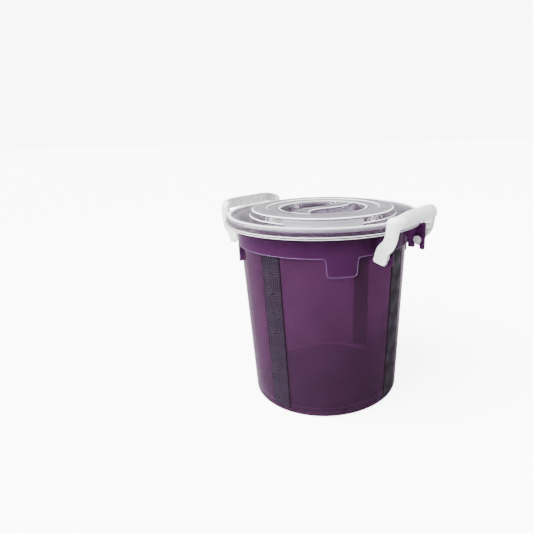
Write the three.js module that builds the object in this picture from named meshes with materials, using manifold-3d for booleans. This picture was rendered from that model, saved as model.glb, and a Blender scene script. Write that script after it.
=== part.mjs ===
// A plastic fermenting bucket with a clear press-fit lid and two swinging clamp handles.
// Millimetres, +Z up, origin at the middle of the foot ring. The handles lie along +X and -X.
// Azimuths are measured about Z from -Y towards +X, so the right handle is at 90 degrees.
import * as THREE from 'three';
import { mergeVertices } from 'three/addons/utils/BufferGeometryUtils.js';
import Module from 'manifold-3d';

const wasm = await Module();
wasm.setup();

// ---- driving dimensions -------------------------------------------------------------------
const ROUND_STEPS = 60;            // facets round the big turned pieces
const SEAM = 0.3;                  // clearance between neighbouring pieces

const FOOT_RADIUS = 139.4;         // outside of the wall at the foot
const APRON_FOOT_Z = 292.5;        // lower edge of the rim apron
const WALL_RADIUS_AT_APRON = 152;
const WALL = 2.6;                  // wall thickness
const FLOOR_UNDER_Z = 5.5;
const FLOOR_TOP_Z = 8.5;
const FLANGE_UNDER_Z = 334;        // the flat rim of the bucket
const FLANGE_TOP_Z = 336.6;
const FLANGE_RADIUS = 171.5;
const LIP_FOOT_Z = 329;            // the turned-down edge of that rim
const LIP_WALL = 2.2;

const APRON_TOP_RADIUS = 156.8;    // outside of the apron under the rim
const APRON_FOOT_RADIUS = 157;
const APRON_WALL = 2.2;
const TAB_FOOT_Z = 261.5;          // lower edge of the four apron tabs
const TAB_FOOT_RADIUS = 157.4;
const TAB_HALF_WIDTH = 26;
const TAB_AZIMUTHS = [45, 135, 225, 315];
const APRON_RIB_OFFSET = 17;       // ribs stand this far each side of every strip, in degrees

const STRIP_AZIMUTHS = { front: 0, right: 90, rear: 180, left: 270 };
const STRIP_WIDTH = 36;
const STRIP_FOOT_Z = 12;
const STRIP_TOP_Z = 291;
const STRIP_RELIEF = 1.2;

const PIVOT_U = 159.8;             // the handle's pivot, out from the middle
const PIVOT_Z = 293;
const PIN_RADIUS = 7.5;
const PIN_TIP_RADIUS = 5.8;
const KEYHOLE_RADIUS = 8;
const KEYHOLE_SLOT = 9.6;
const LUG_INNER_V = 62;            // the lugs stand across the pivot, at +V and -V
const LUG_OUTER_V = 66;
const PIN_COLLAR_RADIUS = 9.6;
const ARM_INNER_V = 73;
const ARM_OUTER_V = 78;
const ARM_HALF_WIDTH = 10.8;
const ARM_TOP_Z = 339.7;

const GRIP_OUTER_U = 194;          // the grip stands just outside the lid
const GRIP_FOOT_Z = 340;
const GRIP_TOP_Z = 360.5;
const GRIP_WALL = 3;
const GRIP_FLANGE = 8;
const GRIP_FLANGE_WALL = 2.5;
const GRIP_CORNER = 18;

const LID_CREST_Z = 344;           // the rounded rim of the lid
const LID_RADIUS = 175;
const LID_SKIRT_RADIUS = 176.8;
const LID_SKIRT_FOOT_Z = 326.5;
const LID_WALL = 2;
const CHANNEL_Z = 340;             // floor of the channel inside the rim
const PLATEAU_Z = 351;
const WELL_EDGE_Z = 349;
const WELL_FLOOR_Z = 334;
const WELL_RADIUS = 72;
const LID_TURN = 34.5;             // how far the lid is turned on the bucket, in degrees

// ---- materials ----------------------------------------------------------------------------
const plastic = (color, roughness) => new THREE.MeshStandardMaterial({ color, roughness, metalness: 0 });
const PURPLE = plastic(0x6b3a6b, 0.35);
const DEEP_PURPLE = plastic(0x5c2d64, 0.35);
const STRIP_PURPLE = plastic(0x3e2f44, 0.7);
const CLEAR = plastic(0xdfe3e6, 0.25);
const WHITE = plastic(0xf4f6f6, 0.4);
const SEAL = plastic(0xe8e6de, 0.7);

// ---- solids -------------------------------------------------------------------------------
function signedVolume(position, index) {
  const a = new THREE.Vector3();
  const b = new THREE.Vector3();
  const c = new THREE.Vector3();
  let sum = 0;
  for (let i = 0; i < index.length; i += 3) {
    a.fromBufferAttribute(position, index[i]);
    b.fromBufferAttribute(position, index[i + 1]);
    c.fromBufferAttribute(position, index[i + 2]);
    sum += a.dot(b.cross(c));
  }
  return sum;
}

// Turns a closed three.js geometry into a solid, with its faces pointing out.
function solid(geometry) {
  const bare = geometry.clone();
  bare.deleteAttribute('normal');
  bare.deleteAttribute('uv');
  const merged = mergeVertices(bare, 1e-3);
  const index = [];
  for (let i = 0; i < merged.index.count; i += 3) {
    const [a, b, c] = [0, 1, 2].map((k) => merged.index.getX(i + k));
    if (a !== b && b !== c && c !== a) index.push(a, b, c);
  }
  if (signedVolume(merged.attributes.position, index) < 0) index.reverse();
  return new wasm.Manifold(new wasm.Mesh({
    numProp: 3,
    vertProperties: new Float32Array(merged.attributes.position.array),
    triVerts: new Uint32Array(index),
  }));
}

function meshOf(name, body, material) {
  const { vertProperties, triVerts } = body.getMesh();
  const geometry = new THREE.BufferGeometry();
  geometry.setAttribute('position', new THREE.BufferAttribute(vertProperties, 3));
  geometry.setIndex(new THREE.BufferAttribute(triVerts, 1));
  geometry.computeVertexNormals();
  const mesh = new THREE.Mesh(geometry, material);
  mesh.name = name;
  return mesh;
}

// A turned solid about Z from [radius, height] pairs. A profile off the axis is closed here.
function turned(profile, steps = ROUND_STEPS) {
  const points = profile.map(([r, z]) => new THREE.Vector2(r, z));
  if (profile[0][0] > 0) points.push(points[0].clone());
  return solid(new THREE.LatheGeometry(points, steps).rotateX(Math.PI / 2));
}

function outline(points) {
  return new THREE.Shape(points.map(([x, y]) => new THREE.Vector2(x, y)));
}

// A plan outline raised from one height to another.
function raised(shape, low, high, curveSegments = 10) {
  const settings = { depth: high - low, bevelEnabled: false, curveSegments };
  return solid(new THREE.ExtrudeGeometry(shape, settings).translate(0, 0, low));
}

// A side outline in (u, z), thick from v = low to v = high. U is X and V is Y.
function sideways(shape, low, high, curveSegments = 10) {
  const settings = { depth: high - low, bevelEnabled: false, curveSegments };
  const geometry = new THREE.ExtrudeGeometry(shape, settings).rotateX(Math.PI / 2);
  return solid(geometry.translate(0, high, 0));
}

function box(low, high) {
  const size = high.map((value, axis) => value - low[axis]);
  const middle = high.map((value, axis) => (value + low[axis]) / 2);
  return solid(new THREE.BoxGeometry(...size).translate(...middle));
}

const turnedTo = (body, azimuth) => body.rotate([0, 0, azimuth]);
const wallRadius = (z) => FOOT_RADIUS + ((WALL_RADIUS_AT_APRON - FOOT_RADIUS) * z) / APRON_FOOT_Z;

// ---- the bucket ---------------------------------------------------------------------------
function bucketShell() {
  const innerAt = (z) => wallRadius(z) - WALL;
  return turned([
    [0, FLOOR_UNDER_Z],
    [132, FLOOR_UNDER_Z],
    [133, 0],
    [137.2, 0],
    [wallRadius(2), 2],
    [wallRadius(FLANGE_UNDER_Z), FLANGE_UNDER_Z],
    [FLANGE_RADIUS - LIP_WALL, FLANGE_UNDER_Z],
    [FLANGE_RADIUS - LIP_WALL, LIP_FOOT_Z],
    [FLANGE_RADIUS, LIP_FOOT_Z],
    [FLANGE_RADIUS, FLANGE_TOP_Z - 0.8],
    [FLANGE_RADIUS - 0.8, FLANGE_TOP_Z],
    [innerAt(FLANGE_TOP_Z), FLANGE_TOP_Z],
    [innerAt(FLOOR_TOP_Z + 5), FLOOR_TOP_Z + 5],
    [innerAt(FLOOR_TOP_Z) - 4, FLOOR_TOP_Z],
    [0, FLOOR_TOP_Z],
  ]);
}

// One tab of the apron, seen from outside: it leaves the apron in rounded shoulders.
function tabOutline() {
  const corner = 7;
  const foot = TAB_HALF_WIDTH - 2;
  const shoulder = TAB_HALF_WIDTH + corner;
  const shape = new THREE.Shape();
  shape.moveTo(-shoulder, APRON_FOOT_Z + 3);
  shape.lineTo(-shoulder, APRON_FOOT_Z);
  shape.quadraticCurveTo(-TAB_HALF_WIDTH, APRON_FOOT_Z, -TAB_HALF_WIDTH, APRON_FOOT_Z - corner);
  shape.lineTo(-foot, TAB_FOOT_Z + corner);
  shape.quadraticCurveTo(-foot, TAB_FOOT_Z, -foot + corner, TAB_FOOT_Z);
  shape.lineTo(foot - corner, TAB_FOOT_Z);
  shape.quadraticCurveTo(foot, TAB_FOOT_Z, foot, TAB_FOOT_Z + corner);
  shape.lineTo(TAB_HALF_WIDTH, APRON_FOOT_Z - corner);
  shape.quadraticCurveTo(TAB_HALF_WIDTH, APRON_FOOT_Z, shoulder, APRON_FOOT_Z);
  shape.lineTo(shoulder, APRON_FOOT_Z + 3);
  return shape;
}

function rimApron() {
  const topZ = FLANGE_UNDER_Z - SEAM;
  const band = (outerTop, top, outerFoot, foot) => turned([
    [outerFoot - APRON_WALL, foot],
    [outerFoot, foot],
    [outerTop, top],
    [outerTop - APRON_WALL, top],
  ]);
  const hem = band(APRON_FOOT_RADIUS, APRON_FOOT_Z + 0.5, TAB_FOOT_RADIUS, TAB_FOOT_Z - 1);
  const cutter = sideways(tabOutline(), -170, -140, 5);
  const inner = APRON_FOOT_RADIUS - APRON_WALL / 2;
  const foot = APRON_FOOT_Z + 3;
  const ribSide = outline([
    [wallRadius(foot) + 0.4, foot],
    [inner, foot],
    [APRON_TOP_RADIUS - APRON_WALL / 2, topZ],
    [wallRadius(topZ) + 0.4, topZ],
  ]);
  const rib = sideways(ribSide, -1, 1);
  let apron = band(APRON_TOP_RADIUS, topZ, APRON_FOOT_RADIUS, APRON_FOOT_Z);
  for (const azimuth of TAB_AZIMUTHS) apron = apron.add(hem.intersect(turnedTo(cutter, azimuth)));
  for (const azimuth of Object.values(STRIP_AZIMUTHS)) {
    for (const side of [-APRON_RIB_OFFSET, APRON_RIB_OFFSET]) {
      apron = apron.add(turnedTo(rib, azimuth - 90 + side));
    }
  }
  return apron;
}

// A textured strip: a curved plate that lies on the tapered wall.
function gripStrip(azimuth) {
  const skin = (z, out) => [wallRadius(z) + out, z];
  const sleeve = turned([
    skin(STRIP_FOOT_Z, SEAM),
    skin(STRIP_FOOT_Z, SEAM + STRIP_RELIEF),
    skin(STRIP_TOP_Z, SEAM + STRIP_RELIEF),
    skin(STRIP_TOP_Z, SEAM),
  ]);
  const half = STRIP_WIDTH / 2;
  const cutter = box([-half, -170, STRIP_FOOT_Z - 5], [half, -120, STRIP_TOP_Z + 5]);
  return sleeve.intersect(turnedTo(cutter, azimuth));
}

// A hinge lug: an upright plate with a keyhole that is open at the bottom for the pin.
function hingeLug() {
  const half = KEYHOLE_SLOT / 2;
  const rise = Math.sqrt(KEYHOLE_RADIUS ** 2 - half ** 2);
  const start = Math.atan2(-rise, -half);
  const end = Math.atan2(-rise, half);
  const rootU = 138;
  const edgeU = 174;
  const topZ = 325;
  const footZ = 276.5;
  const innerFootZ = 278.5;
  const corner = 2.5;
  const shape = new THREE.Shape();
  shape.moveTo(rootU, innerFootZ);
  shape.lineTo(PIVOT_U - half, innerFootZ);
  shape.lineTo(PIVOT_U - half, PIVOT_Z - rise);
  shape.absarc(PIVOT_U, PIVOT_Z, KEYHOLE_RADIUS, start, end, true);
  shape.lineTo(PIVOT_U + half, footZ + corner);
  shape.quadraticCurveTo(PIVOT_U + half, footZ, PIVOT_U + half + corner, footZ);
  shape.lineTo(edgeU - corner, footZ);
  shape.quadraticCurveTo(edgeU, footZ, edgeU, footZ + corner);
  shape.lineTo(edgeU, topZ - 8);
  shape.quadraticCurveTo(edgeU, topZ, edgeU - 8, topZ);
  shape.lineTo(rootU, topZ);
  const apronSpace = turned([
    [0, TAB_FOOT_Z - 10],
    [APRON_FOOT_RADIUS + SEAM, TAB_FOOT_Z - 10],
    [APRON_FOOT_RADIUS + SEAM, APRON_FOOT_Z],
    [APRON_TOP_RADIUS + SEAM, FLANGE_UNDER_Z],
    [0, FLANGE_UNDER_Z],
  ]);
  return sideways(shape, LUG_INNER_V, LUG_OUTER_V, 14).subtract(apronSpace);
}

// ---- the lid ------------------------------------------------------------------------------
function lidPanel() {
  const top = [
    [0, WELL_FLOOR_Z],
    [WELL_RADIUS, WELL_FLOOR_Z],
    [WELL_RADIUS + 2, WELL_FLOOR_Z + 2],
    [WELL_RADIUS + 5.5, WELL_EDGE_Z],
    [100, WELL_EDGE_Z],
    [103, PLATEAU_Z],
    [127, PLATEAU_Z],
    [128.6, PLATEAU_Z - 1],
    [131.5, CHANNEL_Z + 1],
    [133, CHANNEL_Z],
    [159.5, CHANNEL_Z],
    [164.5, LID_CREST_Z - 0.5],
    [167, LID_CREST_Z],
    [172, LID_CREST_Z],
    [174.4, LID_CREST_Z - 1],
    [LID_RADIUS, LID_CREST_Z - 2.8],
  ];
  const skirt = [
    [175.2, 331.6],
    [LID_SKIRT_RADIUS, 331],
    [LID_SKIRT_RADIUS, 329.8],
    [175.6, 329.2],
    [LID_SKIRT_RADIUS, 328.4],
    [LID_SKIRT_RADIUS, LID_SKIRT_FOOT_Z],
    [174, LID_SKIRT_FOOT_Z],
    [173.3, 340],
    [171.8, 341.8],
    [166, 341.8],
    [160.5, CHANNEL_Z - LID_WALL],
  ];
  const plugOuter = 150.8;
  const plugFoot = 330.5;
  const under = [
    [plugOuter, CHANNEL_Z - LID_WALL],
    [plugOuter, plugFoot],
    [plugOuter - 2.2, plugFoot],
    [plugOuter - 2.2, CHANNEL_Z - LID_WALL],
    [132, CHANNEL_Z - LID_WALL],
    [126.4, PLATEAU_Z - LID_WALL],
    [104, PLATEAU_Z - LID_WALL],
    [101, WELL_EDGE_Z - LID_WALL],
    [WELL_RADIUS + 7.2, WELL_EDGE_Z - LID_WALL],
    [WELL_RADIUS + 3, WELL_FLOOR_Z - LID_WALL],
    [0, WELL_FLOOR_Z - LID_WALL],
  ];
  return turned([...top, ...skirt, ...under]);
}

// A raised bridge across the rim channel, with slanted ends.
function lidBridge() {
  const ring = turned([
    [133.4, CHANNEL_Z + SEAM],
    [158.8, CHANNEL_Z + SEAM],
    [163.5, LID_CREST_Z + 0.3],
    [160, LID_CREST_Z + 2.4],
    [131.5, LID_CREST_Z + 3.8],
    [130.1, LID_CREST_Z + 3.2],
    [131.9, CHANNEL_Z + 1.3],
  ]);
  const corner = (radius, azimuth) => {
    const angle = THREE.MathUtils.degToRad(azimuth);
    return [radius * Math.sin(angle), -radius * Math.cos(angle)];
  };
  const wedge = outline([
    corner(122, -34), corner(172, -18), corner(190, 0), corner(172, 18), corner(122, 34),
  ]);
  return ring.intersect(raised(wedge, CHANNEL_Z - 5, PLATEAU_Z));
}

// The bar across the well, with edges that sweep like an S and flare out at both ends.
function turnGrip() {
  const reach = WELL_RADIUS + 6;
  const barOutline = (halfWidth) => {
    const steps = 16;
    const edge = (side) => Array.from({ length: steps + 1 }, (_, i) => {
      const t = (2 * i) / steps - 1;
      const sweep = 13 * Math.sin(Math.PI * t);
      return [sweep + side * (halfWidth + 9 * Math.abs(t) ** 3), reach * t];
    });
    return outline([...edge(1), ...edge(-1).reverse()]);
  };
  const foot = WELL_FLOOR_Z + SEAM;
  const top = WELL_EDGE_Z - 0.4;
  const well = turned([
    [0, foot],
    [WELL_RADIUS - 0.5, foot],
    [WELL_RADIUS + 1.6, WELL_FLOOR_Z + 2.2],
    [WELL_RADIUS + 5, top],
    [0, top],
  ]);
  const hollow = raised(barOutline(10), foot - 1, top - LID_WALL);
  const core = turned([
    [0, foot - 1],
    [WELL_RADIUS - 4, foot - 1],
    [WELL_RADIUS - 4, top],
    [0, top],
  ]);
  return raised(barOutline(12), foot - 1, top + 1).intersect(well).subtract(hollow.intersect(core));
}

function sealRing() {
  return turned([
    [166.6, FLANGE_TOP_Z + SEAM],
    [170.6, FLANGE_TOP_Z + SEAM],
    [171.2, 339],
    [170.4, 341.5],
    [167, 341.5],
    [166.4, 340.6],
  ]);
}

// ---- the handles --------------------------------------------------------------------------
// A band that runs along V and wraps round both corners, seen from above.
function bandOutline(wall) {
  const endU = GRIP_OUTER_U - 26;
  const cornerU = GRIP_OUTER_U - GRIP_CORNER;
  const cornerV = ARM_OUTER_V - GRIP_CORNER;
  const inner = GRIP_CORNER - wall;
  const shape = new THREE.Shape();
  shape.moveTo(endU, -ARM_OUTER_V);
  shape.absarc(cornerU, -cornerV, GRIP_CORNER, -Math.PI / 2, 0, false);
  shape.absarc(cornerU, cornerV, GRIP_CORNER, 0, Math.PI / 2, false);
  shape.lineTo(endU, ARM_OUTER_V);
  shape.lineTo(endU, ARM_OUTER_V - wall);
  shape.absarc(cornerU, cornerV, inner, Math.PI / 2, 0, true);
  shape.absarc(cornerU, -cornerV, inner, 0, -Math.PI / 2, true);
  shape.lineTo(endU, -ARM_OUTER_V + wall);
  return shape;
}

// The handle's upper end from the side: it swells outwards and is rounded at the top.
function gripSide() {
  const innerU = GRIP_OUTER_U - 23.5;
  const shape = new THREE.Shape();
  shape.moveTo(innerU, GRIP_FOOT_Z);
  shape.lineTo(GRIP_OUTER_U - 1.5, GRIP_FOOT_Z);
  shape.quadraticCurveTo(GRIP_OUTER_U, GRIP_FOOT_Z + 1, GRIP_OUTER_U, GRIP_FOOT_Z + 5);
  shape.quadraticCurveTo(GRIP_OUTER_U - 1, GRIP_TOP_Z, GRIP_OUTER_U - 9.5, GRIP_TOP_Z);
  shape.lineTo(GRIP_OUTER_U - 11.5, GRIP_TOP_Z);
  shape.quadraticCurveTo(innerU + 3, GRIP_TOP_Z - 1, innerU + 0.4, GRIP_FOOT_Z + 7);
  return shape;
}

function handleGrip() {
  const flange = bandOutline(GRIP_FLANGE);
  const web = raised(bandOutline(GRIP_WALL), GRIP_FOOT_Z, GRIP_TOP_Z, 6);
  const lower = raised(flange, GRIP_FOOT_Z, GRIP_FOOT_Z + GRIP_FLANGE_WALL, 6);
  const upper = raised(flange, GRIP_TOP_Z - GRIP_FLANGE_WALL, GRIP_TOP_Z, 6);
  const inside = GRIP_OUTER_U - GRIP_WALL;
  let grip = web.add(lower).add(upper);
  for (let v = -52; v <= 52; v += 13) {
    const low = [inside - 3.5, v - 0.9, GRIP_FOOT_Z + 1];
    grip = grip.add(box(low, [inside + 0.5, v + 0.9, GRIP_TOP_Z - 1]));
  }
  const clearRadius = LID_SKIRT_RADIUS + 0.7;
  const lidSpace = turned([[0, 320], [clearRadius, 320], [clearRadius, 370], [0, 370]]);
  for (const side of [-1, 1]) {
    const [near, far] = [side * 56, side * (ARM_OUTER_V - 1)].sort((a, b) => a - b);
    const ledge = box([166, near, GRIP_FOOT_Z + 3.5], [inside + 0.5, far, GRIP_FOOT_Z + 7]);
    grip = grip.add(ledge.subtract(lidSpace));
  }
  return grip.intersect(sideways(gripSide(), -ARM_OUTER_V - 1, ARM_OUTER_V + 1, 6));
}

// The arm from the side: a strip of even width along a line that sweeps in like an S.
function armOutline(inset) {
  const line = new THREE.SplineCurve([
    new THREE.Vector2(178.5, 348),
    new THREE.Vector2(178, 339),
    new THREE.Vector2(176.2, 326),
    new THREE.Vector2(171.5, 314),
    new THREE.Vector2(161.8, 303),
    new THREE.Vector2(158, 290.5),
  ]);
  const steps = 20;
  const half = ARM_HALF_WIDTH - inset;
  const side = (sign) => Array.from({ length: steps + 1 }, (_, i) => {
    const point = line.getPoint(i / steps);
    const along = line.getTangent(i / steps);
    return [point.x - sign * along.y * half, point.y + sign * along.x * half];
  });
  const end = line.getPoint(1);
  const along = line.getTangent(1);
  const capStart = Math.atan2(-along.x, along.y);
  const capSteps = 8;
  const cap = Array.from({ length: capSteps - 1 }, (_, i) => {
    const angle = capStart + (Math.PI * (i + 1)) / capSteps;
    return [end.x + half * Math.cos(angle), end.y + half * Math.sin(angle)];
  });
  return outline([...side(-1), ...cap, ...side(1).reverse()]);
}

function handleArm() {
  const bossRadius = PIN_COLLAR_RADIUS + 1.5;
  const boss = new THREE.Shape().absarc(PIVOT_U, PIVOT_Z, bossRadius, 0, 2 * Math.PI, false);
  const recess = sideways(armOutline(2.4), ARM_OUTER_V - 2, ARM_OUTER_V + 1);
  const bossBody = sideways(boss, ARM_INNER_V, ARM_OUTER_V - 0.6, 14);
  const below = box([130, 0, 250], [210, 100, ARM_TOP_Z]);
  const arm = sideways(armOutline(0), ARM_INNER_V, ARM_OUTER_V).subtract(recess).add(bossBody);
  return arm.intersect(below);
}

// The pin snaps into the keyhole. A collar spaces the arm off the lug.
function handlePin() {
  const tipV = LUG_INNER_V - 2.6;
  const collarV = LUG_OUTER_V + SEAM;
  const endV = ARM_INNER_V - SEAM;
  const pin = turned([
    [0, tipV],
    [PIN_TIP_RADIUS - 0.6, tipV],
    [PIN_TIP_RADIUS, tipV + 0.6],
    [PIN_TIP_RADIUS, LUG_INNER_V - 0.9],
    [PIN_RADIUS, LUG_INNER_V - 0.3],
    [PIN_RADIUS, collarV],
    [PIN_COLLAR_RADIUS, collarV],
    [PIN_COLLAR_RADIUS, endV],
    [0, endV],
  ], 24);
  return pin.rotate([-90, 0, 0]).translate([PIVOT_U, 0, PIVOT_Z]);
}

// ---- assembly -----------------------------------------------------------------------------
const bucket = new THREE.Group();
bucket.add(meshOf('bucket_shell', bucketShell(), PURPLE));
bucket.add(meshOf('rim_apron', rimApron(), DEEP_PURPLE));
for (const [side, azimuth] of Object.entries(STRIP_AZIMUTHS)) {
  bucket.add(meshOf(`grip_strip_${side}`, gripStrip(azimuth), STRIP_PURPLE));
}

const lid = new THREE.Group();
const lidTurned = (body, extra = 0) => turnedTo(body, LID_TURN + extra);
lid.add(meshOf('lid_panel', lidPanel(), CLEAR));
lid.add(meshOf('lid_bridge_front', lidTurned(lidBridge()), CLEAR));
lid.add(meshOf('lid_bridge_rear', lidTurned(lidBridge(), 180), CLEAR));
lid.add(meshOf('lid_turn_grip', lidTurned(turnGrip(), -31), CLEAR));
lid.add(meshOf('lid_seal_ring', sealRing(), SEAL));

const handles = new THREE.Group();
for (const [side, turn] of [['right', 0], ['left', 180]]) {
  const place = (body) => body.rotate([0, 0, turn]);
  const frontSign = side === 'right' ? -1 : 1;
  handles.add(meshOf(`handle_${side}_grip`, place(handleGrip()), WHITE));
  for (const [end, sign] of [['front', frontSign], ['rear', -frontSign]]) {
    const across = (body) => place(sign > 0 ? body : body.mirror([0, 1, 0]));
    bucket.add(meshOf(`lug_${side}_${end}`, across(hingeLug()), DEEP_PURPLE));
    handles.add(meshOf(`handle_${side}_arm_${end}`, across(handleArm()), WHITE));
    handles.add(meshOf(`handle_${side}_pin_${end}`, across(handlePin()), WHITE));
  }
}

const object = new THREE.Group();
object.add(bucket, lid, handles);
export default object;
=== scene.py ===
# %% [markdown]
# # A fermenting bucket in three plastics
# The real object is five mouldings: a purple bucket, a clear lid, a seal ring and two white clamp handles.
# All of them are plastic, so the lesson is about two things.
# The first is how to draw a section and turn it into a thin, even wall.
# The second is how much light each plastic lets through, because that alone tells them apart.
# Everything sits in the fixed frame that this cell loads.

# %% Load the frame
import math

import bmesh
import bpy
from mathutils import Matrix, Vector


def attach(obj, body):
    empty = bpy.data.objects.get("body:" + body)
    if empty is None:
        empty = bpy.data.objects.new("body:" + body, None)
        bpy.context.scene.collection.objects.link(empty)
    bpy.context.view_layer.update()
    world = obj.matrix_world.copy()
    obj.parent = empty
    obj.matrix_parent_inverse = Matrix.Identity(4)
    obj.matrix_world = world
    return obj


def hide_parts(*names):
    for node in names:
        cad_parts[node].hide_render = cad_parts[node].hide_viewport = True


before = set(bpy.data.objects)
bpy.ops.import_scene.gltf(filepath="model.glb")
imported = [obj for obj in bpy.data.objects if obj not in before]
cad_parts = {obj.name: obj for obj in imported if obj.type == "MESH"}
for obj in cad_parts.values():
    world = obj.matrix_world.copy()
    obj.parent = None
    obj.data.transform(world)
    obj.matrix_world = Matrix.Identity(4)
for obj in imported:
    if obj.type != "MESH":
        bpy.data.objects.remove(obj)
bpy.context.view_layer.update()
MM = 0.001

# %% [markdown]
# ## The camera
# A product picture is taken from a little above the rim with a wide lens held close.
# The direction is set by three turns about the camera's own axes, which is easier to adjust than a target.
# The small sideways shift frames the object without turning the camera, so upright walls stay upright.

# %% Camera
camera_data = bpy.data.cameras.new("product_camera")
camera_data.sensor_width = 36
camera_data.lens = 29.52
camera_data.shift_x = -0.1126
camera_data.clip_end = 100
camera = bpy.data.objects.new("product_camera", camera_data)
bpy.context.scene.collection.objects.link(camera)
camera.location = (0.4531, -0.6593, 0.4725)
camera.rotation_euler = [math.radians(a) for a in (73.455, 0.944, 33.879)]
bpy.context.scene.camera = camera
print("camera:", round(camera_data.lens, 1), "mm lens,", [round(v, 3) for v in camera.location])

# %% [markdown]
# ## Two node helpers
# Adding a node and setting its values takes the same few lines each time, so it becomes a function.
# A Mix node has hidden sockets for each kind of data, and a second function picks the right ones.

# %% Node helpers
def node(tree, kind, **values):
    """Adds a node and sets the inputs and properties that are named."""
    made = tree.nodes.new(kind)
    for key, value in values.items():
        if key in made.inputs:
            made.inputs[key].default_value = value
        else:
            setattr(made, key, value)
    return made


def mixed(tree, factor, low, high, data_type="FLOAT"):
    """A Mix node between two sockets or values."""
    mix = tree.nodes.new("ShaderNodeMix")
    mix.data_type = data_type
    low_index, high_index, out_index = {"FLOAT": (2, 3, 0), "RGBA": (6, 7, 2)}[data_type]
    tree.links.new(factor, mix.inputs[0])
    for index, value in ((low_index, low), (high_index, high)):
        if isinstance(value, bpy.types.NodeSocket):
            tree.links.new(value, mix.inputs[index])
        else:
            mix.inputs[index].default_value = value
    return mix.outputs[out_index]


print("node helpers ready")

# %% [markdown]
# ## Floor and light
# Clear and translucent plastics show what is around them, so the room is part of their finish.
# A wide ceiling light does most of the work, and two soft panels add a gentle highlight at each side.
# The room and the floor look white to the camera, but they are dimmer in reflections.
# Light Path tells the two apart, and so the purple walls keep their depth and don't turn grey.

# %% Light
ROOM_BRIGHTNESS = 0.75
BACKDROP_BRIGHTNESS = 9.0
PANEL_TARGET = Vector((0, 0, 0.2))
PANEL_SIZE = (0.5, 1.2)

world = bpy.data.worlds.new("studio")
world.use_nodes = True
background = world.node_tree.nodes["Background"]
background.inputs["Color"].default_value = (0.97, 0.98, 1.0, 1.0)
ray_kind = node(world.node_tree, "ShaderNodeLightPath")
backdrop = node(world.node_tree, "ShaderNodeMapRange")
backdrop.inputs["To Min"].default_value = ROOM_BRIGHTNESS
backdrop.inputs["To Max"].default_value = BACKDROP_BRIGHTNESS
world.node_tree.links.new(ray_kind.outputs["Is Camera Ray"], backdrop.inputs["Value"])
world.node_tree.links.new(backdrop.outputs["Result"], background.inputs["Strength"])
bpy.context.scene.world = world


def soft_panel(name, place, power):
    """A large soft light that faces the bucket."""
    data = bpy.data.lights.new(name, "AREA")
    data.shape = "RECTANGLE"
    data.size, data.size_y = PANEL_SIZE
    data.energy = power
    light = bpy.data.objects.new(name, data)
    light.location = place
    light.rotation_euler = (Vector(place) - PANEL_TARGET).to_track_quat("Z", "Y").to_euler()
    bpy.context.scene.collection.objects.link(light)


soft_panel("panel_left", (-1.5, -1.0, 1.0), 30)
soft_panel("panel_right", (1.6, 0.9, 1.1), 34)
ceiling_data = bpy.data.lights.new("ceiling_light", "SUN")
ceiling_data.energy = 19
ceiling_data.angle = math.radians(70)
ceiling = bpy.data.objects.new("ceiling_light", ceiling_data)
ceiling.rotation_euler = [math.radians(a) for a in (34, -22, 12)]
bpy.context.scene.collection.objects.link(ceiling)
print("room:", ROOM_BRIGHTNESS, "bright, with 2 soft panels and a wide ceiling light")

# %% Floor
FLOOR_GLOW = 5.5
FLOOR_DIM_TONE = (0.17, 0.17, 0.173, 1)

floor_material = bpy.data.materials.new("pale_floor")
floor_material.use_nodes = True
floor_tree = floor_material.node_tree
floor_shader = floor_tree.nodes["Principled BSDF"]
floor_place = node(floor_tree, "ShaderNodeTexCoord")
floor_noise = node(floor_tree, "ShaderNodeTexNoise", Scale=60)
floor_ramp = node(floor_tree, "ShaderNodeValToRGB")
floor_ramp.color_ramp.elements[0].color = (0.9, 0.9, 0.905, 1)
floor_ramp.color_ramp.elements[1].color = (0.94, 0.94, 0.945, 1)
floor_tree.links.new(floor_place.outputs["Object"], floor_noise.inputs["Vector"])
floor_tree.links.new(floor_noise.outputs["Fac"], floor_ramp.inputs["Fac"])
seen_directly = node(floor_tree, "ShaderNodeLightPath").outputs["Is Camera Ray"]
floor_color = mixed(floor_tree, seen_directly, FLOOR_DIM_TONE, floor_ramp.outputs["Color"], "RGBA")
floor_tree.links.new(floor_color, floor_shader.inputs["Base Color"])
floor_shader.inputs["Roughness"].default_value = 0.75
floor_glow = node(floor_tree, "ShaderNodeMath", operation="MULTIPLY")
floor_glow.inputs[1].default_value = FLOOR_GLOW
floor_tree.links.new(seen_directly, floor_glow.inputs[0])
floor_tree.links.new(floor_glow.outputs["Value"], floor_shader.inputs["Emission Strength"])
floor_shader.inputs["Emission Color"].default_value = (1, 1, 1, 1)

bpy.ops.object.select_all(action="DESELECT")
bpy.ops.mesh.primitive_plane_add(size=60, location=(0, 0, -0.0004))
floor = bpy.context.object
floor.name = "floor"
floor.data.materials.append(floor_material)
print("floor:", floor.dimensions.x, "m wide")

# %% [markdown]
# ## One surface for every moulding
# Moulded plastic is never quite even. The colour drifts where the melt flowed, the gloss changes a little
# from place to place, and handling leaves hair-thin scratches that only show in a highlight.
# All the plastics here share those three effects, so they are built once as a node group.
# The group puts out only what changes over the surface: a colour, a roughness and a height for the bump.

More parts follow.
